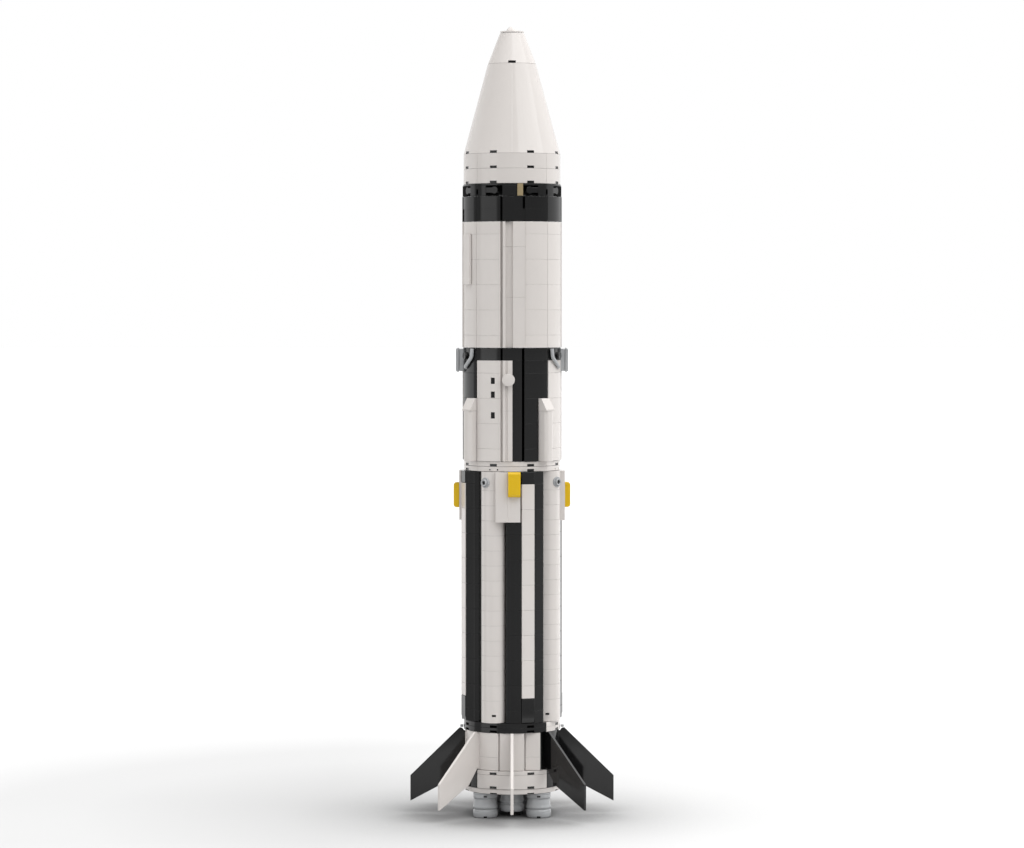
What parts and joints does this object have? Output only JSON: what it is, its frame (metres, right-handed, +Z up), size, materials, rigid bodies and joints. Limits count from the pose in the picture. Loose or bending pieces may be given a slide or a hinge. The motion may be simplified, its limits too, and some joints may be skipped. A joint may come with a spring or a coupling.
{
  "type": "toy brick rocket",
  "caption": "Brick-built toy space rocket: a finned first stage, an upper stage with a black band, and a pointed nose that pull apart.",
  "frame": {"origin": "on the rocket's axis at the floor, under the centre of the outer engines", "axes": "+Z up along the rocket's axis towards the nose, -Y out of the front face, +X to the right of the front face"},
  "size_m": [0.1308, 0.1308, 0.5045],
  "materials": {
    "white_plastic": "smooth moulded",
    "black_plastic": "smooth moulded",
    "grey_plastic": "smooth moulded",
    "yellow_plastic": "smooth moulded",
    "tan_plastic": "smooth moulded"
  },
  "bodies": {
    "first_stage": {"base_disc": "white_plastic", "black_tank_back": "black_plastic", "black_tank_front": "black_plastic", "black_tank_left": "black_plastic", "black_tank_right": "black_plastic", "fin_black_back_left": "black_plastic", "fin_black_front_right": "black_plastic", "fin_black_left": "black_plastic", "fin_black_right": "black_plastic", "fin_white_back": "white_plastic", "fin_white_back_right": "white_plastic", "fin_white_front": "white_plastic", "fin_white_front_left": "white_plastic", "first_stage_core": "white_plastic", "inner_engine_cluster": "grey_plastic", "lower_band_black_left": "black_plastic", "lower_band_black_right": "black_plastic", "lower_band_white": "white_plastic", "lower_ring_black": "black_plastic", "lower_ring_white": "white_plastic", "outer_engine_1": "grey_plastic", "outer_engine_2": "grey_plastic", "outer_engine_3": "grey_plastic", "outer_engine_4": "grey_plastic", "skirt_black_left": "black_plastic", "skirt_black_right": "black_plastic", "skirt_white": "white_plastic", "strip_back": "white_plastic", "strip_front": "white_plastic", "strip_left": "white_plastic", "strip_right": "white_plastic", "white_tank_back": "white_plastic", "white_tank_front": "white_plastic", "white_tank_left": "white_plastic", "white_tank_right": "white_plastic", "yellow_piece_back": "yellow_plastic", "yellow_piece_front": "yellow_plastic", "yellow_piece_left": "yellow_plastic", "yellow_piece_right": "yellow_plastic"},
    "upper_stage": {"aft_panel_white_back": "white_plastic", "aft_panel_white_front": "white_plastic", "aft_panel_white_left": "white_plastic", "aft_panel_white_right": "white_plastic", "aft_section_black": "black_plastic", "black_band": "black_plastic", "bracket_left": "grey_plastic", "bracket_right": "grey_plastic", "instrument_ring": "black_plastic", "interstage_ring": "white_plastic", "raised_plate": "white_plastic", "tan_tile": "tan_plastic", "white_section": "white_plastic"},
    "nose": {"nose_cone_left": "white_plastic", "nose_cone_right": "white_plastic", "nose_cone_upper": "white_plastic", "nose_ring_lower": "white_plastic", "nose_ring_upper": "white_plastic", "nose_tip": "white_plastic"}
  },
  "joints": [
    {"name": "stage_separation", "type": "slide", "parent": "first_stage", "child": "upper_stage", "axis": [0, 0, 1], "range_m": [0, 0.06]},
    {"name": "nose_separation", "type": "slide", "parent": "upper_stage", "child": "nose", "axis": [0, 0, 1], "range_m": [0, 0.04]}
  ]
}
